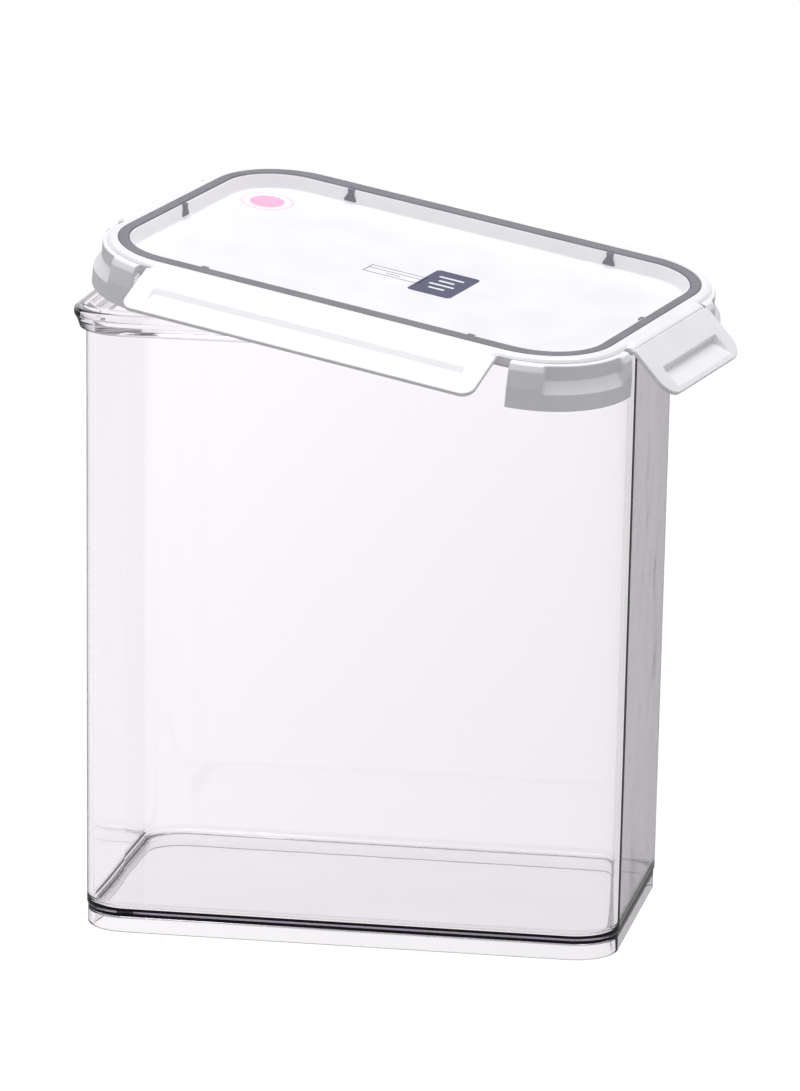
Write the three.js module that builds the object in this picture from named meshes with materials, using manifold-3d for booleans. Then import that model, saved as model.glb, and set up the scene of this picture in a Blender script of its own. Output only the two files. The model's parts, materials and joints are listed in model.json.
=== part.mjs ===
// Clear food canister with a four-flap snap lid that lies loose on its rim.
// Units are millimetres, +Z is up, and the container's foot stands on z = 0.
import * as THREE from 'three';
import { mergeVertices } from 'three/addons/utils/BufferGeometryUtils.js';
import Module from 'manifold-3d';

const wasm = await Module();
wasm.setup();

// ---- Driving dimensions ----

// Container. Half sizes are measured from its own axis.
const bodyHalfX = 107.5;
const bodyHalfY = 67.6;
const bodyCorner = 18.5;
const wallDraft = 0.008; // the walls lean out by this much per millimetre of height
const wallThickness = 2.4;
const containerHeight = 251.6;
const floorTop = 8.9; // upper face of the raised floor
const floorUnderside = 6.1;
const footInset = 0.4;
const footThickness = 2.6;
const rimOut = 4.8; // how far the rim band stands out of the wall
const rimBandHeight = 9.9;

// Lid. The lid's own frame has its origin at the middle of the soft ring's upper face.
const ringHalfX = 105.7;
const ringHalfY = 68;
const ringCorner = 31;
const ringWidth = 6.5; // on the long sides
const ringNarrowing = 2.3; // the ring is this much narrower on the short sides
const ringDepth = 1.2; // how deep the soft ring sits in its groove
const neckHalf = 1.1; // half the width of a tab's neck
const tabHalf = 3.1; // and of its lower edge
const tabThickness = 0.9;
const tabX = 58; // the long sides' tabs stand this far to each side of the middle
const gap = 0.3; // between pieces that touch on the real object
const panelDrop = 6; // how far the panel lies below the ring
const panelThickness = 1.6;
const plugDepth = 8.2; // lower edge of the wall that hangs inside the container's mouth
const plugThickness = 1.8;
const ceilingDrop = 2.4; // top of the channel that holds the seal
const channelOut = 3.5; // outer wall of that channel
const lipDrop = 4.6; // lower edge of the channel's outer lip
const skirtDepth = 19.5;
const skirtOut = 9.2; // the skirts' lower edge, outside the ring's outline
const skirtThickness = 1.3;
const recessEndX = 93.5; // the recess round a corner skirt runs between these two ends
const recessEndY = 41.5;
const longFlapHalf = 76; // half the width of the front and back flaps
const shortFlapHalf = 32.4; // half the width of the side flaps
const longWindowGap = 5.2; // between a long flap's end and the skirt beside it
const shortWindowGap = 2.2;

// Flaps. The hinge line runs outside the ring, a little below the top face.
const hingeOut = 4.8;
const hingeDrop = 3.8;
const flapLength = 24;
const frontFlapDrop = THREE.MathUtils.degToRad(26); // angles below the lid's plane
const rightFlapDrop = THREE.MathUtils.degToRad(40);
const leftFlapDrop = THREE.MathUtils.degToRad(82);
const backFlapDrop = THREE.MathUtils.degToRad(50);

// How the loose lid lies on the container: turned, tipped towards the front right.
const lidMiddle = new THREE.Vector3(17.2, -38.8, 272.05); // from the container's axis
const lidYaw = THREE.MathUtils.degToRad(-16.5);
const lidPitch = THREE.MathUtils.degToRad(7.7);
const lidRoll = THREE.MathUtils.degToRad(6.6);

// The container's axis stands here, so that the whole object is centred on the origin.
const containerAxis = new THREE.Vector3(-17, 37.072, 0);

const cornerSteps = 8;

// ---- Solids ----

function toSolid(geometry) {
  const bare = geometry.clone();
  bare.deleteAttribute('normal');
  bare.deleteAttribute('uv');
  const merged = mergeVertices(bare, 1e-4);
  return new wasm.Manifold(new wasm.Mesh({
    numProp: 3,
    vertProperties: new Float32Array(merged.attributes.position.array),
    triVerts: new Uint32Array(merged.index.array),
  }));
}

function toGeometry(solid) {
  const mesh = solid.getMesh();
  const geometry = new THREE.BufferGeometry();
  geometry.setAttribute('position', new THREE.BufferAttribute(mesh.vertProperties, 3));
  geometry.setIndex(new THREE.BufferAttribute(mesh.triVerts, 1));
  geometry.computeVertexNormals();
  return geometry;
}

function boxSolid(low, high) {
  const size = high.map((value, axis) => value - low[axis]);
  const geometry = new THREE.BoxGeometry(...size);
  geometry.translate(low[0] + size[0] / 2, low[1] + size[1] / 2, low[2] + size[2] / 2);
  return toSolid(geometry);
}

// The outline of a rounded rectangle at height z, anticlockwise seen from above.
function roundedLoop(halfX, halfY, radius, z) {
  const points = [];
  const centres = [[1, 1], [-1, 1], [-1, -1], [1, -1]];
  centres.forEach(([signX, signY], quarter) => {
    for (let step = 0; step <= cornerSteps; step += 1) {
      const angle = (quarter + step / cornerSteps) * Math.PI / 2;
      const x = signX * (halfX - radius) + radius * Math.cos(angle);
      const y = signY * (halfY - radius) + radius * Math.sin(angle);
      points.push(x, y, z);
    }
  });
  return points;
}

// A closed solid through rounded rectangles stacked from the lowest to the highest.
function stackSolid(loops) {
  const count = loops[0].length / 3;
  const faces = [];
  for (let level = 0; level < loops.length - 1; level += 1) {
    for (let i = 0; i < count; i += 1) {
      const a = level * count + i;
      const b = level * count + (i + 1) % count;
      faces.push(a, b, b + count, a, b + count, a + count);
    }
  }
  const top = (loops.length - 1) * count;
  for (let i = 1; i < count - 1; i += 1) {
    faces.push(0, i + 1, i, top, top + i, top + i + 1);
  }
  const geometry = new THREE.BufferGeometry();
  geometry.setAttribute('position', new THREE.Float32BufferAttribute(loops.flat(), 3));
  geometry.setIndex(faces);
  return toSolid(geometry);
}

// Stacks loops that each stand a given distance outside one base outline: [z, outset].
// The widening moves a loop's two short sides further out.
function profileSolid(halfX, halfY, corner, profile, widening = () => 0) {
  return stackSolid(profile.map(([z, out]) => (
    roundedLoop(halfX + out + widening(out), halfY + out, corner + out, z)
  )));
}

function material(color, roughness, extra = {}) {
  return new THREE.MeshStandardMaterial({ color, roughness, metalness: 0, ...extra });
}

function namedMesh(name, geometry, look) {
  const mesh = new THREE.Mesh(geometry, look);
  mesh.name = name;
  return mesh;
}

// ---- Container ----

function containerProfile(profile) {
  return profileSolid(bodyHalfX, bodyHalfY, bodyCorner, profile);
}

// The outer wall's outset at a height.
function wallOut(z) {
  return wallDraft * z;
}

function makeContainer() {
  const top = containerHeight;
  const bandBottom = top - rimBandHeight;
  const rim = wallOut(top) + rimOut;
  const outer = containerProfile([
    [0, -footInset - 0.9],
    [0.9, -footInset],
    [floorTop - 0.7, -footInset],
    [floorTop, wallOut(floorTop)],
    [bandBottom, wallOut(bandBottom)],
    [bandBottom + 0.5, rim - 2.4],
    [bandBottom + 4.1, rim - 1.7],
    [bandBottom + 4.4, rim - 0.4],
    [bandBottom + 5.2, rim],
    [top - 1.8, rim],
    [top - 1.1, rim - 0.6],
  ]);
  // A low sealing lip stands on the inner half of the rim's top face.
  const lip = containerProfile([
    [top - 2, rim - 3.4],
    [top - 0.4, rim - 3.4],
    [top, rim - 3.9],
  ]);
  const inside = (z, more) => [z, wallOut(z) - wallThickness - more];
  const hollow = containerProfile([
    inside(floorTop, 5),
    inside(floorTop + 0.5, 2.6),
    inside(floorTop + 1.7, 0.9),
    inside(floorTop + 3.8, 0),
    inside(top - 1, 0),
    inside(top + 0.1, -0.6),
  ]);
  const underside = containerProfile([
    [-0.1, -footInset - footThickness],
    [floorUnderside - 1, -footInset - footThickness - 0.4],
    [floorUnderside, -footInset - footThickness - 1.6],
  ]);
  const solid = outer.add(lip).subtract(hollow).subtract(underside);
  const look = material('#f4f2f6', 0.08, { transparent: true, opacity: 0.3 });
  return namedMesh('container_body', toGeometry(solid), look);
}

// ---- Lid ----

// Everything inside the soft ring reaches further towards the short sides than the long ones.
function sideWidening(out) {
  return ringNarrowing * Math.min(Math.max(-out / ringWidth, 0), 1);
}

function lidProfile(profile) {
  return profileSolid(ringHalfX, ringHalfY, ringCorner, profile, sideWidening);
}

// Boxes that leave the four flap openings in the skirt.
function flapWindows() {
  const openX = longFlapHalf + longWindowGap;
  const openY = shortFlapHalf + shortWindowGap;
  const low = -skirtDepth - 1;
  const high = 1;
  const reach = ringHalfX + 40;
  return boxSolid([-openX, -reach, low], [openX, reach, high])
    .add(boxSolid([-reach, -openY, low], [reach, openY, high]));
}

// Boxes round the stretch of each corner skirt that is recessed.
function recessedCorners() {
  const farX = ringHalfX + 20;
  const farY = ringHalfY + 20;
  let corners = null;
  for (const [signX, signY] of [[1, 1], [-1, 1], [-1, -1], [1, -1]]) {
    const endsX = [signX * recessEndX, signX * farX];
    const endsY = [signY * recessEndY, signY * farY];
    const corner = boxSolid(
      [Math.min(...endsX), Math.min(...endsY), -skirtDepth - 1],
      [Math.max(...endsX), Math.max(...endsY), 1],
    );
    corners = corners ? corners.add(corner) : corner;
  }
  return corners;
}

// A skirt all the way round: its lower edge, then the wall's outside and inside above that.
function skirtBand(outside, inside) {
  return lidProfile([
    [-skirtDepth, skirtOut - 0.2],
    [-skirtDepth + 0.6, skirtOut],
    ...outside,
    [-0.9, 5],
    [-0.7, 3.7],
  ]).subtract(lidProfile([
    [-skirtDepth - 1, skirtOut - skirtThickness],
    ...inside,
    [-0.65, 3.6],
  ]));
}

// The four corner skirts. Each has a recess with a sloping ledge under it round its corner.
function makeSkirts() {
  const corners = recessedCorners();
  const plain = skirtBand(
    [[-11, skirtOut - 0.2], [-4.5, 8.2], [-2.2, 6.6]],
    [[-6.6, 7.5], [-5.6, 5.2], [-4.4, 3.9]],
  );
  const recessed = skirtBand(
    [[-12.7, skirtOut - 0.2], [-8, 6], [-2.2, 6]],
    [[-14.2, 7.7], [-9.2, 4.7], [-4.4, 4]],
  );
  return plain.subtract(corners).add(recessed.intersect(corners)).subtract(flapWindows());
}

function makeLidShell() {
  const edge = hingeOut - 0.4; // the cap's outer edge, just inside the hinge line
  const cap = lidProfile([
    [-lipDrop, edge - 0.2],
    [-1.5, edge],
    [-0.6, edge - 0.9],
    [0, edge - 2.6],
  ]);
  const plugInside = -ringWidth;
  const plugOutside = plugInside + plugThickness;
  const channel = lidProfile([
    [-skirtDepth, channelOut + 0.2],
    [-ceilingDrop, channelOut],
  ]).subtract(lidProfile([
    [-skirtDepth - 1, plugOutside - 0.6],
    [-plugDepth, plugOutside - 0.3],
    [0, plugOutside],
  ]));
  const recess = lidProfile([
    [-panelDrop, plugInside - 1.4],
    [-panelDrop + 0.7, plugInside - 0.5],
    [0.1, plugInside],
  ]);
  const belowPanel = lidProfile([
    [-skirtDepth, plugInside - 0.6],
    [-panelDrop - panelThickness, plugInside - 1],
  ]);
  const groove = lidProfile([[-ringDepth - gap, gap], [0.1, gap]]);
  const solid = cap
    .add(lidProfile([[-plugDepth, plugOutside - 0.3], [0, plugOutside]]))
    .subtract(channel)
    .subtract(recess)
    .subtract(belowPanel)
    .subtract(groove)
    .add(makeSkirts());
  return namedMesh('lid_shell', toGeometry(solid), material('#f6f4f7', 0.38));
}

// A tab of the soft ring: a short neck that widens to a triangle down the recess wall.
function tabSolid() {
  const top = -ringDepth + 0.3;
  const bottom = -panelDrop + 0.8;
  const outline = new THREE.Shape();
  outline.moveTo(-neckHalf, top);
  outline.lineTo(-neckHalf - 0.2, -2);
  outline.lineTo(-tabHalf, bottom);
  outline.lineTo(tabHalf, bottom);
  outline.lineTo(neckHalf + 0.2, -2);
  outline.lineTo(neckHalf, top);
  outline.closePath();
  const geometry = new THREE.ExtrudeGeometry(outline, { depth: tabThickness, bevelEnabled: false });
  geometry.rotateX(Math.PI / 2); // the outline's height now runs along Z, its thickness along -Y
  return toSolid(geometry);
}

function makeSoftRing() {
  const inner = -ringWidth;
  let solid = lidProfile([
    [-ringDepth, 0],
    [-0.15, 0],
    [0, -0.25],
  ]).subtract(lidProfile([[-ringDepth - 0.1, inner + 0.1], [0.1, inner + 0.1]]));
  const tab = tabSolid();
  const inset = ringWidth + gap + 0.5;
  const places = [
    [tabX, ringHalfY - inset, 0],
    [-tabX, ringHalfY - inset, 0],
    [tabX, inset - ringHalfY, 180],
    [-tabX, inset - ringHalfY, 180],
    [ringHalfX + ringNarrowing - inset, 0, -90],
    [inset - ringNarrowing - ringHalfX, 0, 90],
  ];
  for (const [x, y, turn] of places) {
    const bridge = boxSolid([-neckHalf, -tabThickness, -ringDepth], [neckHalf, 2.2, -0.3]);
    solid = solid.add(tab.add(bridge).rotate([0, 0, turn]).translate([x, y, 0]));
  }
  return namedMesh('soft_ring', toGeometry(solid), material('#8e8c92', 0.62));
}

function makeGasket() {
  const outside = channelOut - 0.6;
  const inside = -ringWidth + plugThickness + 0.8;
  const top = -ceilingDrop - gap;
  const solid = lidProfile([
    [top - 3.4, outside - 1],
    [top - 2.6, outside],
    [top - 0.6, outside],
    [top, outside - 0.6],
  ]).subtract(lidProfile([
    [top - 3.5, inside + 1],
    [top - 2.6, inside],
    [top - 0.6, inside],
    [top + 0.1, inside + 0.7],
  ]));
  return namedMesh('seal_gasket', toGeometry(solid), material('#e4e3e6', 0.55));
}

// ---- Flaps ----

// An outline of [out, up] points, drawn out along the hinge line to a strip from -half to half.
function hingeStrip(outline, half) {
  const section = new THREE.Shape(outline.map(([out, up]) => new THREE.Vector2(out, up)));
  const strip = new THREE.ExtrudeGeometry(section, { depth: 2 * half, bevelEnabled: false });
  // The outline's first axis runs out along -Y, its second up, and its depth along -X.
  strip.applyMatrix4(new THREE.Matrix4().makeBasis(
    new THREE.Vector3(0, -1, 0),
    new THREE.Vector3(0, 0, 1),
    new THREE.Vector3(-1, 0, 0),
  ));
  strip.translate(half, 0, 0);
  return toSolid(strip);
}

// The flap's outline seen from above, with its two outer corners rounded.
function flapPlan(half, tipRadius) {
  const plan = new THREE.Shape();
  const centreX = half - tipRadius;
  const centreY = tipRadius - flapLength;
  plan.moveTo(-half, 0);
  plan.lineTo(-half, centreY);
  plan.absarc(-centreX, centreY, tipRadius, Math.PI, 1.5 * Math.PI);
  plan.lineTo(centreX, -flapLength);
  plan.absarc(centreX, centreY, tipRadius, 1.5 * Math.PI, 2 * Math.PI);
  plan.lineTo(half, 0);
  plan.closePath();
  const blank = new THREE.ExtrudeGeometry(plan, { depth: 10, bevelEnabled: false, curveSegments: 5 });
  blank.translate(0, 0, -5);
  return toSolid(blank);
}

// A flap lies along -Y from its hinge line, its outer face up. A trough along its outer face
// forms the catch on its inner face, which grips under the container's rim band. The trough's
// wall beside the hinge is troughWall wide: the wider it is, the gentler it slopes.
function makeFlap(name, half, tipRadius, troughDepth, troughWall) {
  const under = 2.1;
  const over = 4;
  const endLand = 9; // plain stretch at each end of the trough
  const plate = hingeStrip([
    [0.9, under],
    [flapLength - 0.4, under],
    [flapLength, under + 0.4],
    [flapLength, over - 0.4],
    [flapLength - 0.4, over],
    [1.6, over],
  ], half);
  const trough = hingeStrip([
    [13 - troughWall, over + 0.2],
    [13, over - troughDepth],
    [14.1, over - troughDepth],
    [21.8, over + 0.2],
  ], half - endLand);
  const catchRib = hingeStrip([
    [12.6, under + 0.2],
    [12.8, -1.5],
    [14.2, -1.9],
    [21, under + 0.2],
  ], half - endLand + 1.4);
  const solid = plate.add(catchRib).subtract(trough).intersect(flapPlan(half, tipRadius));
  return namedMesh(name, toGeometry(solid), material('#f2f0f3', 0.4));
}

// Hangs a flap on one side of the lid: side turns it round the lid, drop closes it.
function hangFlap(flap, side, halfSize, drop) {
  const hinge = new THREE.Group();
  hinge.position.set(0, -halfSize - hingeOut, -hingeDrop);
  hinge.rotation.x = drop;
  hinge.add(flap);
  const turn = new THREE.Group();
  turn.rotation.z = side;
  turn.add(hinge);
  return turn;
}

function makeLid() {
  const lid = new THREE.Group();
  lid.position.copy(lidMiddle);
  lid.rotation.set(lidRoll, lidPitch, lidYaw, 'ZYX');
  const quarter = Math.PI / 2;
  const long = [longFlapHalf, 5, 1.6, 2.2]; // half width, tip radius, trough depth and wall
  const short = [shortFlapHalf, 8, 2.8, 0.8];
  lid.add(
    makeLidShell(),
    makeSoftRing(),
    makeGasket(),
    hangFlap(makeFlap('flap_front', ...long), 0, ringHalfY, frontFlapDrop),
    hangFlap(makeFlap('flap_right', ...short), quarter, ringHalfX, rightFlapDrop),
    hangFlap(makeFlap('flap_back', ...long), 2 * quarter, ringHalfY, backFlapDrop),
    hangFlap(makeFlap('flap_left', ...short), -quarter, ringHalfX, leftFlapDrop),
  );
  return lid;
}

const canister = new THREE.Group();
canister.position.copy(containerAxis);
canister.add(makeContainer(), makeLid());

export default canister;
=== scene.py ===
"""Looks for the clear food canister: a clear moulded container and its loose white snap lid."""
import json
import math

import bmesh
import bpy
from mathutils import Matrix, Vector


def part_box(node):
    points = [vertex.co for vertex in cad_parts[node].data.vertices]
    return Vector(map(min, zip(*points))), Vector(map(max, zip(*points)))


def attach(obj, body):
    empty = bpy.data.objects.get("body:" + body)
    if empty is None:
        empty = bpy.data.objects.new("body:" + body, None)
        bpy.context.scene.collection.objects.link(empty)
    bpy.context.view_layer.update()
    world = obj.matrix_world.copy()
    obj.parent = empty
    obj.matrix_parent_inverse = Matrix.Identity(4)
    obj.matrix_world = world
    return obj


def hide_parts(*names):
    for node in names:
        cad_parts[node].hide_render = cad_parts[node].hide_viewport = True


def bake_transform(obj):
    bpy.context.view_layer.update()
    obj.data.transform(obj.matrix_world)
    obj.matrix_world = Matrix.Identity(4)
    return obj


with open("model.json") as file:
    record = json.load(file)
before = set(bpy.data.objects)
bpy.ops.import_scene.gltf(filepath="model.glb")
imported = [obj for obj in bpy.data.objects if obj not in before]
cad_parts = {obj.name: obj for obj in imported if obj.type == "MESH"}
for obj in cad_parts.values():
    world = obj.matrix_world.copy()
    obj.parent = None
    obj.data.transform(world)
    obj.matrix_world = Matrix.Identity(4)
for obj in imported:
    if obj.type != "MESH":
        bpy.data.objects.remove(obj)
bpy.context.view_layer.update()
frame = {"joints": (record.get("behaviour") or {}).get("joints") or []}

# Lengths in this script are millimetres until a mesh is made, which turns them into metres.
MM = 0.001

# ---- Driving dimensions ----

BODY_HALF = (107.5, 67.6)  # half sizes of the walls, carried down to the ground
BODY_CORNER = 18.5
WALL = 2.4
DRAFT = 0.008  # the walls lean out by this much per millimetre of height
HEIGHT = 251.6
FLOOR_TOP = 8.9  # upper face of the raised floor
FLOOR_UNDER = 6.1
FOOT_INSET = 0.4
FOOT_THICK = 2.6
RIM_OUT = 4.8  # how far the rim band stands out of the wall
RIM_BAND = 9.9  # its height

LID_HALF = (105.7, 68.0)  # outline of the soft ring
LID_CORNER = 31.0
RING_WIDTH = 6.5  # on the long sides
RING_NARROWING = 2.3  # the ring is this much narrower on the short sides
RING_DEPTH = 1.2
GAP = 0.3  # between pieces that touch on the real object
PANEL_DROP = 6.0  # how far the panel lies below the ring
PANEL_THICK = 1.6
PLUG_DEPTH = 8.2  # lower edge of the wall that goes inside the container's mouth
PLUG_THICK = 1.8
CEILING_DROP = 2.4  # top of the channel that holds the seal
CHANNEL_OUT = 3.5  # outer wall of that channel
LIP_DROP = 4.6  # lower edge of that wall
SKIRT_OUT = 9.2  # the skirts' lower edge, outside the soft ring
SKIRT_THICK = 1.3
SKIRT_DEPTH = 19.5
CAP_EDGE = 4.4  # the cap's outer edge, outside the soft ring
LONG_FLAP = 76.0  # half the width of the front and back flaps
SHORT_FLAP = 32.4  # half the width of the side flaps
LONG_GAP = 5.2  # between a long flap's end and the skirt beside it
SHORT_GAP = 2.2
HINGE_OUT = 4.8  # the hinge line, outside the soft ring
HINGE_DROP = 3.8
FLAP_LENGTH = 24.0

CORNER_STEPS = 20
NOISE_LOW, NOISE_HIGH = 0.35, 0.65  # most of a noise texture's values lie between these

# ---- Places, from the frame ----

joints = {joint["name"]: joint for joint in frame["joints"]}


def container_place():
    low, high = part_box("container_body")
    middle = (low + high) / 2
    return Matrix.Translation((middle.x, middle.y, 0))


def lid_place():
    """The lid's own frame: its origin is the middle of the soft ring's upper face."""
    along_x = Vector(joints["front_flap_hinge"]["axis"]).normalized()
    along_y = Vector(joints["right_flap_hinge"]["axis"]).normalized()
    up = along_x.cross(along_y).normalized()
    front = Vector(joints["front_flap_hinge"]["pos_m"])
    back = Vector(joints["back_flap_hinge"]["pos_m"])
    middle = (front + back) / 2 + up * HINGE_DROP * MM
    place = Matrix((along_x, along_y, up)).transposed().to_4x4()
    place.translation = middle
    return place


CONTAINER = container_place()
LID = lid_place()

# Each flap: half width, tip radius, turn round the lid, angle below the lid's plane.
FLAPS = {
    "front": (LONG_FLAP, 5.0, 0, 26),
    "right": (SHORT_FLAP, 8.0, 90, 40),
    "back": (LONG_FLAP, 5.0, 180, 50),
    "left": (SHORT_FLAP, 8.0, -90, 82),
}


def hinge_place(side):
    """The frame of one hinge: X along the hinge line, -Y out from the lid, at drop 0."""
    turn = FLAPS[side][2]
    half = LID_HALF[0] if turn % 180 else LID_HALF[1]
    spin = Matrix.Rotation(math.radians(turn), 4, "Z")
    return LID @ spin @ Matrix.Translation((0, -(half + HINGE_OUT) * MM, -HINGE_DROP * MM))


def flap_place(side):
    return hinge_place(side) @ Matrix.Rotation(math.radians(FLAPS[side][3]), 4, "X")


# ---- Mesh helpers ----


def smooth_step(t):
    t = min(1.0, max(0.0, t))
    return t * t * (3 - 2 * t)


def spread(low, high, count):
    return [low + (high - low) * i / count for i in range(count + 1)]


def fillet(points, steps=4):
    """A polyline of (out, z, radius) points with an arc of that radius at each inner point."""
    line = [Vector(points[0][:2])]
    for before, here, after in zip(points, points[1:], points[2:]):
        corner = Vector(here[:2])
        come = corner - Vector(before[:2])
        go = Vector(after[:2]) - corner
        turn = come.angle_signed(go, 0.0)
        radius = here[2] if len(here) > 2 else 0
        reach = abs(math.tan(turn / 2)) * radius
        reach = min(reach, come.length * 0.49, go.length * 0.49)
        if reach < 1e-4:
            line.append(corner)
            continue
        radius = reach / abs(math.tan(turn / 2))
        start = corner - come.normalized() * reach
        side = 1 if turn < 0 else -1  # angle_signed is positive clockwise
        normal = Vector((-come.y, come.x)).normalized() * side
        centre = start + normal * radius
        for k in range(steps + 1):
            angle = side * abs(turn) * k / steps
            arm = start - centre
            spun = Vector((
                arm.x * math.cos(angle) - arm.y * math.sin(angle),
                arm.x * math.sin(angle) + arm.y * math.cos(angle),
            ))
            line.append(centre + spun)
    line.append(Vector(points[-1][:2]))
    return line


def rounded_loop(half, corner, out, z, steps=CORNER_STEPS):
    """A rounded rectangle that stands out from a base outline, anticlockwise from above."""
    radius = corner + out
    points = []
    for quarter, (sx, sy) in enumerate(((1, 1), (-1, 1), (-1, -1), (1, -1))):
        for step in range(steps + 1):
            angle = (quarter + step / steps) * math.pi / 2
            x = sx * (half[0] - corner) + radius * math.cos(angle)
            y = sy * (half[1] - corner) + radius * math.sin(angle)
            points.append((x, y, z))
    return points


def skin(loops, closed_along=False, capped=False):
    """Vertices and faces through loops that all have the same number of points."""
    count = len(loops[0])
    verts = [p for loop in loops for p in loop]
    faces = []
    last = len(loops) if closed_along else len(loops) - 1
    for row in range(last):
        here = row * count
        there = (row + 1) % len(loops) * count
        for i in range(count):
            j = (i + 1) % count
            faces.append((here + i, here + j, there + j, there + i))
    if capped:
        faces.append(tuple(reversed(range(count))))
        faces.append(tuple(range((len(loops) - 1) * count, len(loops) * count)))
    return verts, faces


def sweep(half, corner, profile, closed=False, capped=False):
    loops = [rounded_loop(half, corner, out, z) for out, z in profile]
    return skin(loops, closed_along=closed, capped=capped)


def lid_sweep(profile, closed=False, capped=False):
    """A sweep round the lid. What lies inside the ring reaches further towards the short sides."""
    loops = []
    for out, z in profile:
        widening = RING_NARROWING * min(max(-out / RING_WIDTH, 0.0), 1.0)
        half = (LID_HALF[0] + widening, LID_HALF[1])
        loops.append(rounded_loop(half, LID_CORNER, out, z))
    return skin(loops, closed_along=closed, capped=capped)


def make_mesh(name, shape, place):
    """An object whose mesh is shape, in millimetres, put in place in metres."""
    verts, faces = shape
    mesh = bpy.data.meshes.new(name)
    mesh.from_pydata([Vector(v) * MM for v in verts], [], faces)
    bm = bmesh.new()
    bm.from_mesh(mesh)
    bmesh.ops.remove_doubles(bm, verts=bm.verts, dist=1e-7)
    bmesh.ops.recalc_face_normals(bm, faces=bm.faces)
    bm.to_mesh(mesh)
    bm.free()
    mesh.transform(place)
    piece = bpy.data.objects.new(name, mesh)
    bpy.context.scene.collection.objects.link(piece)
    return piece


def merge_shapes(*shapes):
    verts, faces = [], []
    for more_verts, more_faces in shapes:
        start = len(verts)
        verts.extend(more_verts)
        faces.extend(tuple(start + i for i in face) for face in more_faces)
    return verts, faces


def apply_modifiers(piece):
    depsgraph = bpy.context.evaluated_depsgraph_get()
    mesh = bpy.data.meshes.new_from_object(piece.evaluated_get(depsgraph))
    piece.modifiers.clear()
    piece.data = mesh


def join_solids(piece, others):
    """Unites closed solids into one closed mesh and removes the others."""
    for other in others:
        union = piece.modifiers.new("union", "BOOLEAN")
        union.operation = "UNION"
        union.solver = "EXACT"
        union.object = other
    apply_modifiers(piece)
    for other in others:
        bpy.data.objects.remove(other)


def finish_mesh(piece, material, crease=35):
    """Smooth shading with creases, face-weighted normals, and the material."""
    piece.data.materials.clear()
    piece.data.materials.append(material)
    piece.data.shade_smooth()
    piece.data.set_sharp_from_angle(angle=math.radians(crease))
    weighted = piece.modifiers.new("normals", "WEIGHTED_NORMAL")
    weighted.keep_sharp = True


# ---- Materials ----


def new_material(name):
    material = bpy.data.materials.new(name)
    material.use_nodes = True
    tree = material.node_tree
    return material, tree, tree.nodes["Principled BSDF"]


def add_node(tree, kind, **inputs):
    node = tree.nodes.new(kind)
    for key, value in inputs.items():
        node.inputs[key].default_value = value
    return node


def noise(tree, scale, detail=3.0):
    """Noise of about scale lumps per metre, in the object's own space."""
    place = tree.nodes.new("ShaderNodeTexCoord")
    node = add_node(tree, "ShaderNodeTexNoise", Scale=scale, Detail=detail)
    tree.links.new(place.outputs["Object"], node.inputs["Vector"])
    return node


def add_bump(tree, shader, height, strength, distance):
    bump = add_node(tree, "ShaderNodeBump", Strength=strength, Distance=distance)
    tree.links.new(height, bump.inputs["Height"])
    tree.links.new(bump.outputs["Normal"], shader.inputs["Normal"])


def vary(tree, source, low, high, socket):
    """Drives a number socket from noise, between low and high."""
    spread_node = tree.nodes.new("ShaderNodeMapRange")
    spread_node.inputs["From Min"].default_value = NOISE_LOW
    spread_node.inputs["From Max"].default_value = NOISE_HIGH
    spread_node.inputs["To Min"].default_value = low
    spread_node.inputs["To Max"].default_value = high
    tree.links.new(source, spread_node.inputs["Value"])
    tree.links.new(spread_node.outputs["Result"], socket)


def tint(tree, source, low, high, socket):
    """Drives a colour socket from noise, between two colours."""
    ramp = tree.nodes.new("ShaderNodeValToRGB")
    ramp.color_ramp.elements[0].position = NOISE_LOW
    ramp.color_ramp.elements[0].color = (*low, 1)
    ramp.color_ramp.elements[1].position = NOISE_HIGH
    ramp.color_ramp.elements[1].color = (*high, 1)
    tree.links.new(source, ramp.inputs["Fac"])
    tree.links.new(ramp.outputs["Color"], socket)


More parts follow.
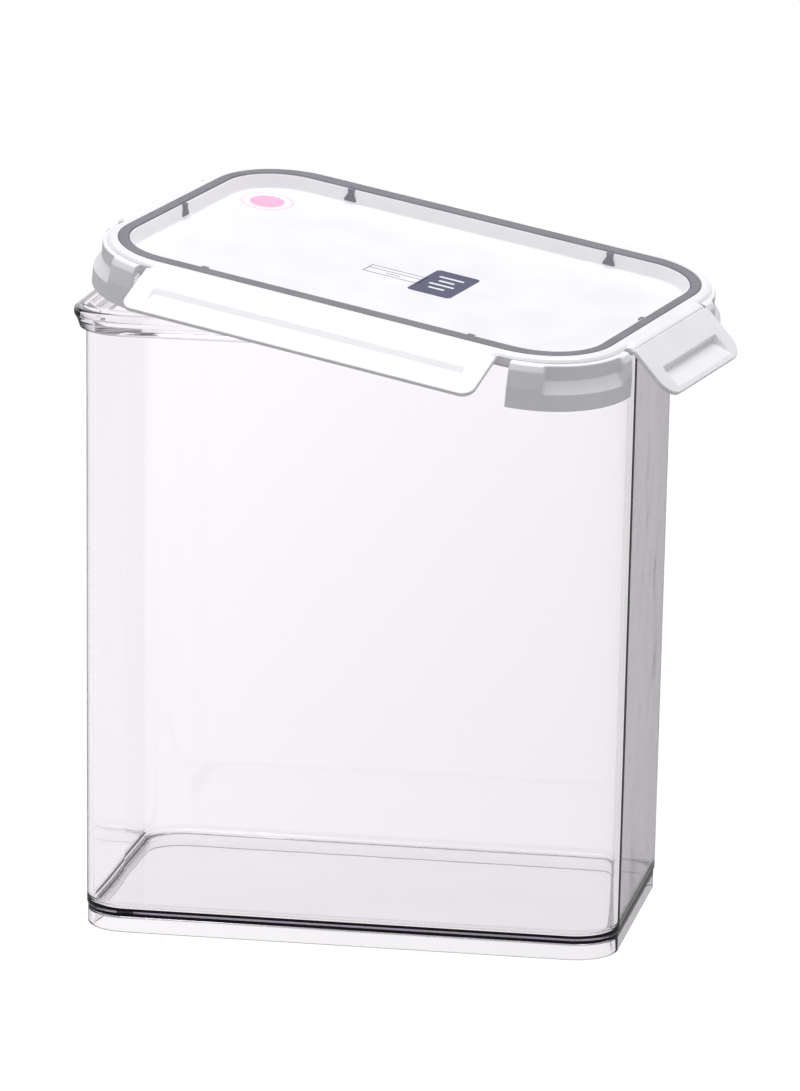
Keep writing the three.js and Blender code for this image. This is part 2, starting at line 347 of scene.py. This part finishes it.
def clear_plastic():
    material, tree, shader = new_material("clear_plastic")
    # Seen at a glancing angle the plastic looks darker, as its polished corners do; this darkening
    # from refraction and reflection is painted shade, put into the base colour by how glancing the
    # view is.
    facing = add_node(tree, "ShaderNodeLayerWeight", Blend=0.5)
    ramp = tree.nodes.new("ShaderNodeValToRGB")
    stops = ramp.color_ramp.elements
    stops[0].color = (0.995, 0.985, 0.992, 1)
    stops[1].color = (0.22, 0.2, 0.25, 1)
    for position, colour in (
        (0.5, (0.985, 0.967, 0.98)),
        (0.79, (0.965, 0.948, 0.965)),
        (0.835, (0.865, 0.838, 0.872)),
        (0.92, (0.66, 0.62, 0.7)),
    ):
        stops.new(position).color = (*colour, 1)
    tree.links.new(facing.outputs["Facing"], ramp.inputs["Fac"])
    tree.links.new(ramp.outputs["Color"], shader.inputs["Base Color"])
    shader.inputs["Transmission Weight"].default_value = 1.0
    shader.inputs["IOR"].default_value = 1.49
    shader.inputs["Roughness"].default_value = 0.0
    flow = noise(tree, 18, 2.0)
    add_bump(tree, shader, flow.outputs["Fac"], 0.05, 0.002)
    # Lamps shine through it, a little dimmed, instead of leaving a solid shadow.
    path = tree.nodes.new("ShaderNodeLightPath")
    clear = tree.nodes.new("ShaderNodeBsdfTransparent")
    clear.inputs["Color"].default_value = (0.93, 0.92, 0.94, 1)
    mix = tree.nodes.new("ShaderNodeMixShader")
    tree.links.new(path.outputs["Is Shadow Ray"], mix.inputs[0])
    tree.links.new(shader.outputs["BSDF"], mix.inputs[1])
    tree.links.new(clear.outputs["BSDF"], mix.inputs[2])
    output = tree.nodes["Material Output"]
    tree.links.new(mix.outputs["Shader"], output.inputs["Surface"])
    # Long ways through the plastic, as at its edges, come out darker.
    absorb = tree.nodes.new("ShaderNodeVolumeAbsorption")
    absorb.inputs["Color"].default_value = (0.55, 0.5, 0.6, 1)
    absorb.inputs["Density"].default_value = 18.0
    tree.links.new(absorb.outputs["Volume"], output.inputs["Volume"])
    return material


def lid_plastic():
    material, tree, shader = new_material("lid_plastic")
    cloud = noise(tree, 60, 4.0)
    low, high = (0.86, 0.855, 0.875), (0.885, 0.88, 0.895)
    tint(tree, cloud.outputs["Fac"], low, high, shader.inputs["Base Color"])
    grain = noise(tree, 1600, 2.0)
    vary(tree, cloud.outputs["Fac"], 0.34, 0.42, shader.inputs["Roughness"])
    add_bump(tree, shader, grain.outputs["Fac"], 0.12, 0.0001)
    return material


def soft_grey():
    material, tree, shader = new_material("soft_grey")
    cloud = noise(tree, 90, 4.0)
    low, high = (0.2, 0.195, 0.215), (0.225, 0.22, 0.24)
    tint(tree, cloud.outputs["Fac"], low, high, shader.inputs["Base Color"])
    grain = noise(tree, 2600, 3.0)
    vary(tree, grain.outputs["Fac"], 0.52, 0.66, shader.inputs["Roughness"])
    add_bump(tree, shader, grain.outputs["Fac"], 0.3, 0.0001)
    return material


def seal_silicone():
    material, tree, shader = new_material("seal_silicone")
    cloud = noise(tree, 120, 3.0)
    low, high = (0.74, 0.73, 0.75), (0.79, 0.78, 0.8)
    tint(tree, cloud.outputs["Fac"], low, high, shader.inputs["Base Color"])
    vary(tree, cloud.outputs["Fac"], 0.45, 0.58, shader.inputs["Roughness"])
    add_bump(tree, shader, noise(tree, 1400, 2.0).outputs["Fac"], 0.15, 0.0001)
    return material


def ink(name, low, high):
    """Print on the lid, slightly uneven as a pad print is."""
    material, tree, shader = new_material(name)
    cloud = noise(tree, 700, 3.0)
    tint(tree, cloud.outputs["Fac"], low, high, shader.inputs["Base Color"])
    vary(tree, cloud.outputs["Fac"], 0.3, 0.42, shader.inputs["Roughness"])
    return material


CLEAR = clear_plastic()
WHITE = lid_plastic()
GREY = soft_grey()
SEAL = seal_silicone()
NAVY = ink("navy_ink", (0.095, 0.1, 0.16), (0.115, 0.12, 0.185))
PINK = ink("pink_ink", (0.88, 0.42, 0.63), (0.92, 0.5, 0.69))
PALE = ink("pale_ink", (0.24, 0.24, 0.28), (0.31, 0.31, 0.36))

# ---- Container ----


def wall_out(z):
    return DRAFT * z


def container_profile():
    """From the middle of the underside, round the foot, up, over the rim and down to the floor."""
    top = HEIGHT
    band = top - RIM_BAND
    rim = wall_out(top) + RIM_OUT
    foot = -FOOT_INSET
    inner = wall_out(FLOOR_TOP) - WALL
    return fillet([
        (foot - FOOT_THICK - 4, FLOOR_UNDER),
        (foot - FOOT_THICK - 0.6, FLOOR_UNDER, 1.2),
        (foot - FOOT_THICK, 0, 0.5),
        (foot, 0, 0.9),
        (foot, FLOOR_TOP - 0.9, 0.4),
        (wall_out(FLOOR_TOP), FLOOR_TOP, 0.5),
        (wall_out(band), band, 0.5),
        (rim - 2.4, band + 0.4, 1.2),
        (rim - 1.2, band + 4.0, 1.5),
        (rim, band + 6.0, 1.5),
        (rim, top - 1.1, 1.2),
        (rim - 3.4, top - 1.1, 0.3),
        (rim - 3.5, top, 0.5),
        (wall_out(top) - WALL + 0.3, top, 0.7),
        (wall_out(top) - WALL - 0.02, top - 2, 0.5),
        (inner, FLOOR_TOP, 4.0),
        (inner - 7, FLOOR_TOP),
    ], 6)


def make_container():
    shape = sweep(BODY_HALF, BODY_CORNER, container_profile(), capped=True)
    piece = make_mesh("clear_container", shape, CONTAINER)
    finish_mesh(piece, CLEAR)
    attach(piece, "container")
    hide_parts("container_body")


# ---- Lid ----


def cap_profile():
    """From the middle of the panel's underside, round the seal channel, to the panel's top."""
    inner = -RING_WIDTH
    outer = inner + PLUG_THICK
    return fillet([
        (inner - 5, -PANEL_DROP - PANEL_THICK),
        (inner - 1, -PANEL_DROP - PANEL_THICK, 0.3),
        (inner - 1, -PLUG_DEPTH, 0.25),
        (outer - 0.3, -PLUG_DEPTH, 0.6),
        (outer, -CEILING_DROP, 0.5),
        (CHANNEL_OUT, -CEILING_DROP, 0.5),
        (CHANNEL_OUT + 0.1, -LIP_DROP, 0.2),
        (CAP_EDGE - 0.2, -LIP_DROP, 0.25),
        (CAP_EDGE, -1.5, 0.5),
        (CAP_EDGE - 0.9, -0.55, 0.8),
        (CAP_EDGE - 2.6, 0, 0.8),
        (GAP, 0, 0.18),
        (GAP, -RING_DEPTH - GAP, 0.1),
        (inner + 0.3, -RING_DEPTH - GAP, 0.1),
        (inner + 0.2, -0.3, 0.15),
        (inner - 0.25, -0.4, 0.2),
        (inner - 1.5, -PANEL_DROP, 0.9),
        (inner - 6, -PANEL_DROP),
    ])


def skirt_plain():
    """A corner skirt's outer face, from the cap down."""
    return fillet([
        (4.0, -1.75),
        (6.9, -2.1, 1.5),
        (8.2, -4.4, 2.5),
        (SKIRT_OUT - 0.2, -11, 3),
        (SKIRT_OUT, -SKIRT_DEPTH, 0.5),
        (SKIRT_OUT - SKIRT_THICK, -SKIRT_DEPTH),
    ])


def skirt_recessed():
    """The same, where it is recessed: a steep wall, a sloping ledge and the lower part."""
    return fillet([
        (4.0, -1.75),
        (6.1, -2.1, 0.5),
        (6.0, -8.0, 0.9),
        (SKIRT_OUT - 0.2, -12.7, 0.6),
        (SKIRT_OUT, -SKIRT_DEPTH, 0.5),
        (SKIRT_OUT - SKIRT_THICK, -SKIRT_DEPTH),
    ])


def out_at(line, z):
    """How far out a falling profile line is at height z."""
    for a, b in zip(line, line[1:]):
        if b.y <= z <= a.y:
            share = (a.y - z) / max(a.y - b.y, 1e-9)
            return a.x + (b.x - a.x) * share
    return line[-1].x


def skirt_loop(recess):
    """The closed outline of a corner skirt's section: outside down, inside up."""
    plain = skirt_plain()
    deep = skirt_recessed()
    heights = sorted({round(p.y, 4) for p in plain + deep}, reverse=True)
    heights = [z for z in heights if z > -SKIRT_DEPTH + 1e-3]
    outside = []
    for z in heights:
        out = out_at(plain, z) * (1 - recess) + out_at(deep, z) * recess
        outside.append((out, z))
    inner = SKIRT_OUT - SKIRT_THICK
    bottom = [
        (SKIRT_OUT - 0.5, -SKIRT_DEPTH),
        (inner + 0.4, -SKIRT_DEPTH),
        (inner, -SKIRT_DEPTH + 0.4),
    ]
    # The inner face from below: its height, then how far out it is where plain and recessed.
    inner_face = (
        (-14.2, inner - 0.1, inner - 0.1),
        (-9.2, inner - 0.4, 4.9),
        (-6.4, 7.0, 4.75),
        (-5.4, 5.4, 4.6),
        (-4.2, 3.9, 3.9),
    )
    inside = [(a * (1 - recess) + b * recess, z) for z, a, b in inner_face]
    return outside + bottom + inside


def corner_point(sign, out, along):
    """A point round one corner: along is in degrees, and below 0 it runs down the short side."""
    centre_x = LID_HALF[0] - LID_CORNER
    centre_y = LID_HALF[1] - LID_CORNER
    radius = LID_CORNER + out
    if along < 0:
        x = centre_x + radius
        y = centre_y + math.radians(along) * LID_CORNER
    else:
        x = centre_x + radius * math.cos(math.radians(along))
        y = centre_y + radius * math.sin(math.radians(along))
    return sign[0] * x, sign[1] * y


def skirt_shape(sign):
    """One corner skirt, from the side flap's opening round to the long flap's."""
    start = -math.degrees((LID_HALF[1] - LID_CORNER - SHORT_FLAP - SHORT_GAP) / LID_CORNER)
    reach = LONG_FLAP + LONG_GAP - (LID_HALF[0] - LID_CORNER)
    end_out = 6  # the skirt's end is measured this far outside the ring
    end = math.degrees(math.acos(reach / (LID_CORNER + end_out)))
    low, high = 7.0, 59.5  # the recess runs between these two, in degrees
    ramp = 1.5  # half the stretch over which it deepens
    stops = spread(start, low - ramp, 6) + spread(low - ramp, low + ramp, 8)[1:]
    stops += spread(low + ramp, high - ramp, 22)[1:] + spread(high - ramp, high + ramp, 8)[1:]
    stops += spread(high + ramp, end, 7)[1:]
    loops = []
    for along in stops:
        recess = smooth_step((along - low) / ramp / 2 + 0.5)
        recess *= smooth_step((high - along) / ramp / 2 + 0.5)
        loops.append([(*corner_point(sign, out, along), z) for out, z in skirt_loop(recess)])
    return skin(loops, capped=True)


def make_lid_shell():
    piece = make_mesh("lid_cap", lid_sweep(cap_profile(), capped=True), LID)
    skirts = [
        make_mesh("skirt", skirt_shape(sign), LID)
        for sign in ((1, 1), (-1, 1), (-1, -1), (1, -1))
    ]
    join_solids(piece, skirts)
    finish_mesh(piece, WHITE, 30)
    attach(piece, "lid")
    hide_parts("lid_shell")


def tab_shape(x, y, turn):
    """A soft tab: a neck from the ring that widens to a triangle down the recess wall."""
    outline = fillet([
        (-1.5, -0.3), (-1.15, -1.3, 0.4), (-1.3, -2.1, 0.8), (-3.2, -5.2, 0.5),
        (3.2, -5.2, 0.5), (1.3, -2.1, 0.8), (1.15, -1.3, 0.4), (1.5, -0.3),
    ])
    spin = Matrix.Rotation(math.radians(turn), 3, "Z")
    loops = []
    for depth, shrink in ((0.6, 1.0), (-0.7, 1.0), (-0.9, 0.93)):
        loops.append([
            tuple(spin @ Vector((p.x * shrink, depth, p.y)) + Vector((x, y, 0)))
            for p in outline
        ])
    return skin(loops, capped=True)


def make_soft_ring():
    profile = fillet([
        (-3, -RING_DEPTH), (0, -RING_DEPTH, 0.1), (0, 0.1, 0.3),
        (-RING_WIDTH + 1.0, 0.1, 0.5), (-RING_WIDTH + 0.4, -RING_DEPTH, 0.1), (-3, -RING_DEPTH),
    ])
    piece = make_mesh("soft_touch_ring", lid_sweep(profile[:-1], closed=True), LID)
    inset = RING_WIDTH + GAP + 0.2
    half_x, half_y = LID_HALF
    tab_x = 58  # the long sides' tabs stand this far to each side of the middle
    places = [
        (tab_x, half_y - inset, 0), (-tab_x, half_y - inset, 0),
        (tab_x, inset - half_y, 180), (-tab_x, inset - half_y, 180),
        (half_x + RING_NARROWING - inset, 0, -90), (inset - RING_NARROWING - half_x, 0, 90),
    ]
    join_solids(piece, [make_mesh("tab", tab_shape(*place), LID) for place in places])
    finish_mesh(piece, GREY)
    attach(piece, "lid")
    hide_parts("soft_ring")


def make_gasket():
    """A soft seal with two lips on its lower face."""
    outside = CHANNEL_OUT - 0.6
    inside = -RING_WIDTH + PLUG_THICK + 0.8
    top = -CEILING_DROP - GAP
    tip = top - 3.4  # of the two lips
    between = top - 1.9
    profile = fillet([
        (0, top), (outside, top, 0.6), (outside, tip, 0.7), (outside - 1.4, tip, 0.7),
        (0.9, between, 0.5), (-0.9, between, 0.5), (-1.6, tip, 0.7),
        (inside, tip, 0.7), (inside, top, 0.6), (0, top),
    ])
    piece = make_mesh("seal_band", lid_sweep(profile[:-1], closed=True), LID)
    finish_mesh(piece, SEAL)
    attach(piece, "lid")
    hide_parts("seal_gasket")


# ---- Flaps ----

PLATE_UNDER = 2.1  # the plate's two faces, above the hinge line when the flap is level
PLATE_OVER = 4.0
END_LAND = 9.0  # plain stretch at each end of the trough
SHORT_TROUGH = (2.8, 0.8)  # depth, and how far out its steep wall runs
LONG_TROUGH = (0.9, 3.0)


def trough_line(depth, wall):
    """The trough's depth against the distance from the hinge: a wall, then a long slope."""
    return fillet([
        (9.0, 0), (13 - wall, 0, 0.6), (13, -depth, 0.8),
        (14.1, -depth, 0.8), (21.8, 0, 1.0), (23, 0),
    ], 5)


def rib_line():
    """The catch rib's depth below the plate, under the trough."""
    return fillet([
        (11.8, 0), (12.6, 0, 0.4), (12.8, -3.6, 0.5),
        (14.2, -4.0, 0.6), (21, 0, 0.8), (23, 0),
    ], 5)


def depth_at(line, y):
    """The height of a trough or rib line at distance y from the hinge."""
    if y <= line[0].x or y >= line[-1].x:
        return 0.0
    for a, b in zip(line, line[1:]):
        if a.x <= y <= b.x:
            share = (y - a.x) / max(b.x - a.x, 1e-9)
            return a.y + (b.y - a.y) * share
    return 0.0


def flap_shape(half, tip, depth, wall):
    """Both faces of the flap as one closed grid, -Y away from the hinge and +Z outwards."""
    rows = sorted({round(y, 3) for y in
                   spread(1.2, 10.2, 7) + spread(10.2, 15.2, 30) + spread(15.2, 23.0, 16)
                   + spread(23.0, FLAP_LENGTH, 8)
                   + [FLAP_LENGTH - tip * (1 - math.sin(a)) for a in spread(0, math.pi / 2, 10)]})
    land = half - END_LAND
    cols = sorted({round(s * x, 3) for s in (1, -1) for x in
                   spread(0, land - 1, 12) + spread(land - 1, land + 2.4, 16)
                   + spread(land + 2.4, half - 0.8, 4) + spread(half - 0.8, half, 6)})
    trough, rib = trough_line(depth, wall), rib_line()

    def half_at(y):
        past = y - (FLAP_LENGTH - tip)
        if past <= 0:
            return half
        return half - tip + math.sqrt(max(tip * tip - past * past, 0))

    def edge_round(distance, radius=0.55):
        """How far the face falls near the flap's edge."""
        if distance >= radius:
            return 0.0
        return radius - math.sqrt(max(radius ** 2 - (radius - distance) ** 2, 0))

    def edge_distance(x, y):
        side = half - abs(x)
        end = FLAP_LENGTH - y
        past_x = abs(x) - (half - tip)
        past_y = y - (FLAP_LENGTH - tip)
        if past_x > 0 and past_y > 0:
            return tip - math.hypot(past_x, past_y)
        return min(side, end)

    upper, lower = [], []
    for y in rows:
        squeeze = half_at(y) / half
        for x in cols:
            px = x * squeeze
            ends = 1 - smooth_step(abs(px) - land + 0.4)
            rib_ends = 1 - smooth_step((abs(px) - land - 1.2) / 0.8)
            drop = edge_round(max(edge_distance(px, y), 0.0))
            upper.append((px, -y, PLATE_OVER + depth_at(trough, y) * ends - drop))
            lower.append((px, -y, PLATE_UNDER + depth_at(rib, y) * rib_ends + drop))
    wide = len(cols)
    tall = len(rows)
    faces = []
    offset = len(upper)
    for r in range(tall - 1):
        for c in range(wide - 1):
            a = r * wide + c
            faces.append((a, a + 1, a + 1 + wide, a + wide))
            faces.append((offset + a + wide, offset + a + 1 + wide, offset + a + 1, offset + a))
    rim = list(range(wide))
    rim += [r * wide + wide - 1 for r in range(1, tall)]
    rim += [(tall - 1) * wide + c for c in range(wide - 2, -1, -1)]
    rim += [r * wide for r in range(tall - 2, 0, -1)]
    for a, b in zip(rim, rim[1:] + rim[:1]):
        faces.append((b, a, offset + a, offset + b))
    return upper + lower, faces


def make_flap(side):
    half, tip, _, _ = FLAPS[side]
    trough = SHORT_TROUGH if half == SHORT_FLAP else LONG_TROUGH
    shape = flap_shape(half, tip, *trough)
    piece = make_mesh("snap_flap_" + side, shape, flap_place(side))
    finish_mesh(piece, WHITE, 40)
    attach(piece, "flap_" + side)
    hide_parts("flap_" + side)


def polar(radius, degrees):
    """A point round the hinge line: out from the lid, and up."""
    angle = math.radians(degrees)
    return radius * math.cos(angle), radius * math.sin(angle)


def make_hinge_web(side):
    """The thin moulded web that joins a flap to the lid, curved round the hinge line."""
    half, _, _, drop = FLAPS[side]
    lid_edge = (-1.4, HINGE_DROP - 0.6)  # on the cap's slope, seen from the hinge line
    flap_edge = (1.5, PLATE_OVER - 0.1)
    start_angle = math.degrees(math.atan2(lid_edge[1], lid_edge[0]))
    end_angle = math.degrees(math.atan2(flap_edge[1], flap_edge[0])) - drop
    start_radius = math.hypot(*lid_edge)
    end_radius = math.hypot(*flap_edge)
    steps = 24
    thick = 2.0
    end_taper = 3  # the web narrows over this length at each end
    end_loss = 0.35  # by this share
    line_depth = 0.22 if half == SHORT_FLAP else 0.1
    outer, inner = [], []
    for k in range(steps + 1):
        share = k / steps
        angle = start_angle + (end_angle - start_angle) * share
        radius = start_radius + (end_radius - start_radius) * share
        for groove in (0.12, 0.88):  # a fine line at each side of the web
            radius -= line_depth * max(0.0, 1 - abs(share - groove) / 0.05)
        outer.append(polar(radius, angle))
        inner.append(polar(radius - thick, angle))
    section = outer + inner[::-1]
    reach = half - 0.6
    loops = []
    flat = reach - end_taper
    stations = spread(-reach, -flat, 6) + spread(-flat, flat, 16)[1:-1] + spread(flat, reach, 6)
    for x in stations:
        past = max(0.0, (abs(x) - flat) / end_taper)
        shrink = 1 - end_loss * past * past
        loops.append([(x, -out * shrink, up * shrink) for out, up in section])
    place = hinge_place(side)
    piece = make_mesh("hinge_web_" + side, skin(loops, capped=True), place)
    finish_mesh(piece, WHITE, 50)
    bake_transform(piece)


# ---- Print on the panel ----

PRINT = 0.05  # thickness of a printed layer
SKETCH_LINE = 0.5  # width of a printed line
PANEL = -PANEL_DROP


def flat_shape(outline, low, high):
    loops = [[(x, y, z) for x, y in outline] for z in (low, high)]
    return skin(loops, capped=True)


def rounded_outline(cx, cy, wide, tall, radius, steps=6):
    loop = rounded_loop((wide / 2, tall / 2), radius, 0, 0, steps)
    return [(cx + x, cy + y) for x, y, _ in loop]


def disc_outline(cx, cy, radius, steps=48):
    return [(cx + radius * math.cos(a), cy + radius * math.sin(a))
            for a in (2 * math.pi * k / steps for k in range(steps))]


def print_piece(name, shapes, material):
    piece = make_mesh(name, merge_shapes(*shapes), LID)
    finish_mesh(piece, material)
    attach(piece, "lid")


def stroke(x0, y0, x1, y1):
    """One printed line."""
    along = Vector((x1 - x0, y1 - y0)).normalized() * SKETCH_LINE / 2
    across = Vector((-along.y, along.x))
    a = Vector((x0, y0)) - along
    b = Vector((x1, y1)) + along
    outline = [tuple(a - across), tuple(b - across), tuple(b + across), tuple(a + across)]
    return flat_shape(outline, PANEL - PRINT, PANEL + PRINT)


def make_prints():
    low, high = PANEL - PRINT, PANEL + PRINT
    label_x = 16.5
    label = rounded_outline(label_x, -2, 19, 28, 2)
    print_piece("label_block", [flat_shape(label, low, high)], NAVY)
    bars = [
        flat_shape(rounded_outline(label_x, y, wide, 1.5, 0.7), low, high + PRINT)
        for y, wide in ((5, 11), (0.5, 7), (-4, 11), (-8.5, 7))
    ]
    print_piece("label_bars", bars, WHITE)
    sketch = [
        stroke(-16, -8, 8, -8), stroke(-16, 0, 8, 0), stroke(-16, -8, -16, 0),
        stroke(8, -8, 8, 0), stroke(-16, -3, 8, -3), stroke(-7, -5.5, -1, -5.5),
    ]
    print_piece("line_sketch", sketch, PALE)
    badge = (-84.7, 39.7)
    print_piece("round_badge", [flat_shape(disc_outline(*badge, 7), low, high)], PINK)
    dots = [
        flat_shape(disc_outline(x, y, 0.42, 10), low, high)
        for x, y in disc_outline(*badge, 10.3, 40)
    ]
    print_piece("badge_dots", dots, PINK)


# ---- Stage, light and camera ----

# The floor's brightness.
FLOOR_GLOW = 1.04  # to the eye
FLOOR_THROUGH = (1.1, 0.87)  # through the clear plastic, from the left to the right
FLOOR_FILL = 0.2  # where the object mirrors the floor or is lit by it


def make_stage():
    reach = 12.0
    mesh = bpy.data.meshes.new("floor")
    corners = [(-reach, -reach, 0), (reach, -reach, 0), (reach, reach, 0), (-reach, reach, 0)]
    mesh.from_pydata(corners, [], [(0, 1, 2, 3)])
    floor = bpy.data.objects.new("floor", mesh)
    bpy.context.scene.collection.objects.link(floor)
    material, tree, shader = new_material("floor")
    links = tree.links
    shader.inputs["Base Color"].default_value = (0.01, 0.01, 0.01, 1)
    shader.inputs["Roughness"].default_value = 0.9
    shader.inputs["Specular IOR Level"].default_value = 0.0
    shader.inputs["Emission Color"].default_value = (1, 0.992, 1, 1)
    path = tree.nodes.new("ShaderNodeLightPath")
    mirrored = tree.nodes.new("ShaderNodeMath")
    mirrored.operation = "SUBTRACT"
    links.new(path.outputs["Is Glossy Ray"], mirrored.inputs[0])
    links.new(path.outputs["Is Transmission Ray"], mirrored.inputs[1])
    bounced = tree.nodes.new("ShaderNodeMath")
    bounced.operation = "MAXIMUM"
    links.new(path.outputs["Is Diffuse Ray"], bounced.inputs[0])
    links.new(mirrored.outputs["Value"], bounced.inputs[1])
    # Through the plastic, the floor is a little dimmer to the right.
    place = tree.nodes.new("ShaderNodeTexCoord")
    split = tree.nodes.new("ShaderNodeSeparateXYZ")
    links.new(place.outputs["Object"], split.inputs["Vector"])
    through = add_node(tree, "ShaderNodeMapRange", **{"From Min": -0.35, "From Max": 0.2})
    through.inputs["To Min"].default_value = FLOOR_THROUGH[0]
    through.inputs["To Max"].default_value = FLOOR_THROUGH[1]
    links.new(split.outputs["X"], through.inputs["Value"])
    seen = tree.nodes.new("ShaderNodeMapRange")
    seen.inputs["To Min"].default_value = FLOOR_GLOW
    links.new(path.outputs["Is Transmission Ray"], seen.inputs["Value"])
    links.new(through.outputs["Result"], seen.inputs["To Max"])
    glow = tree.nodes.new("ShaderNodeMapRange")
    glow.inputs["To Max"].default_value = FLOOR_FILL
    links.new(bounced.outputs["Value"], glow.inputs["Value"])
    links.new(seen.outputs["Result"], glow.inputs["To Min"])
    links.new(glow.outputs["Result"], shader.inputs["Emission Strength"])
    floor.data.materials.append(material)
    floor.location.z = -0.0003


def area_light(name, place, target, size, power):
    data = bpy.data.lights.new(name, "AREA")
    data.shape = "RECTANGLE"
    data.size, data.size_y = size
    data.energy = power
    lamp = bpy.data.objects.new(name, data)
    lamp.location = place
    lamp.rotation_euler = (Vector(target) - Vector(place)).to_track_quat("-Z", "Y").to_euler()
    bpy.context.scene.collection.objects.link(lamp)


def make_light():
    world = bpy.data.worlds.new("studio")
    world.use_nodes = True
    tree = world.node_tree
    # White below the horizon and a little above it, and grey overhead.
    place = tree.nodes.new("ShaderNodeTexCoord")
    split = tree.nodes.new("ShaderNodeSeparateXYZ")
    ramp = tree.nodes.new("ShaderNodeValToRGB")
    stops = ramp.color_ramp.elements
    stops[0].position = 0.22
    stops[0].color = (1.05, 1.04, 1.06, 1)
    stops[1].position = 0.38
    stops[1].color = (0.2, 0.195, 0.22, 1)
    tree.links.new(place.outputs["Generated"], split.inputs["Vector"])
    tree.links.new(split.outputs["Z"], ramp.inputs["Fac"])
    tree.links.new(ramp.outputs["Color"], tree.nodes["Background"].inputs["Color"])
    bpy.context.scene.world = world
    area_light("overhead", place=(0, 0, 1.5), target=(0, 0, 0.1), size=(1.4, 1.2), power=19.5)


# The camera stands 12 degrees above the horizon and 10 degrees to the right of the front.
CAMERA_FROM_AXIS = Vector((0.47652, -2.70120, 0.73868))
CAMERA_AZIMUTH = 9.832
CAMERA_ELEVATION = 12.142
CAMERA_ROLL = 0.939
CAMERA_LENS = 230.98


def make_camera():
    a, e, r = (math.radians(v) for v in (CAMERA_AZIMUTH, CAMERA_ELEVATION, CAMERA_ROLL))
    back = Vector((math.sin(a) * math.cos(e), -math.cos(a) * math.cos(e), math.sin(e)))
    right = Vector((math.cos(a), math.sin(a), 0))
    up = back.cross(right)
    turned_right = right * math.cos(r) + up * math.sin(r)
    turned_up = up * math.cos(r) - right * math.sin(r)
    data = bpy.data.cameras.new("camera")
    data.lens = CAMERA_LENS
    data.sensor_width = 36
    data.clip_end = 100
    camera = bpy.data.objects.new("camera", data)
    place = Matrix((turned_right, turned_up, back)).transposed().to_4x4()
    place.translation = CONTAINER.translation + CAMERA_FROM_AXIS
    camera.matrix_world = place
    bpy.context.scene.collection.objects.link(camera)
    bpy.context.scene.camera = camera


def set_colours():
    """The view transform, and enough bounces for light to pass all the clear walls."""
    bounces = 24
    scene = bpy.context.scene
    scene.view_settings.view_transform = "Standard"
    scene.cycles.max_bounces = bounces
    scene.cycles.transmission_bounces = bounces
    scene.cycles.transparent_max_bounces = bounces


make_camera()
make_container()
make_lid_shell()
make_soft_ring()
make_gasket()
for flap_side in FLAPS:
    make_flap(flap_side)
    make_hinge_web(flap_side)
make_prints()
make_stage()
make_light()
set_colours()
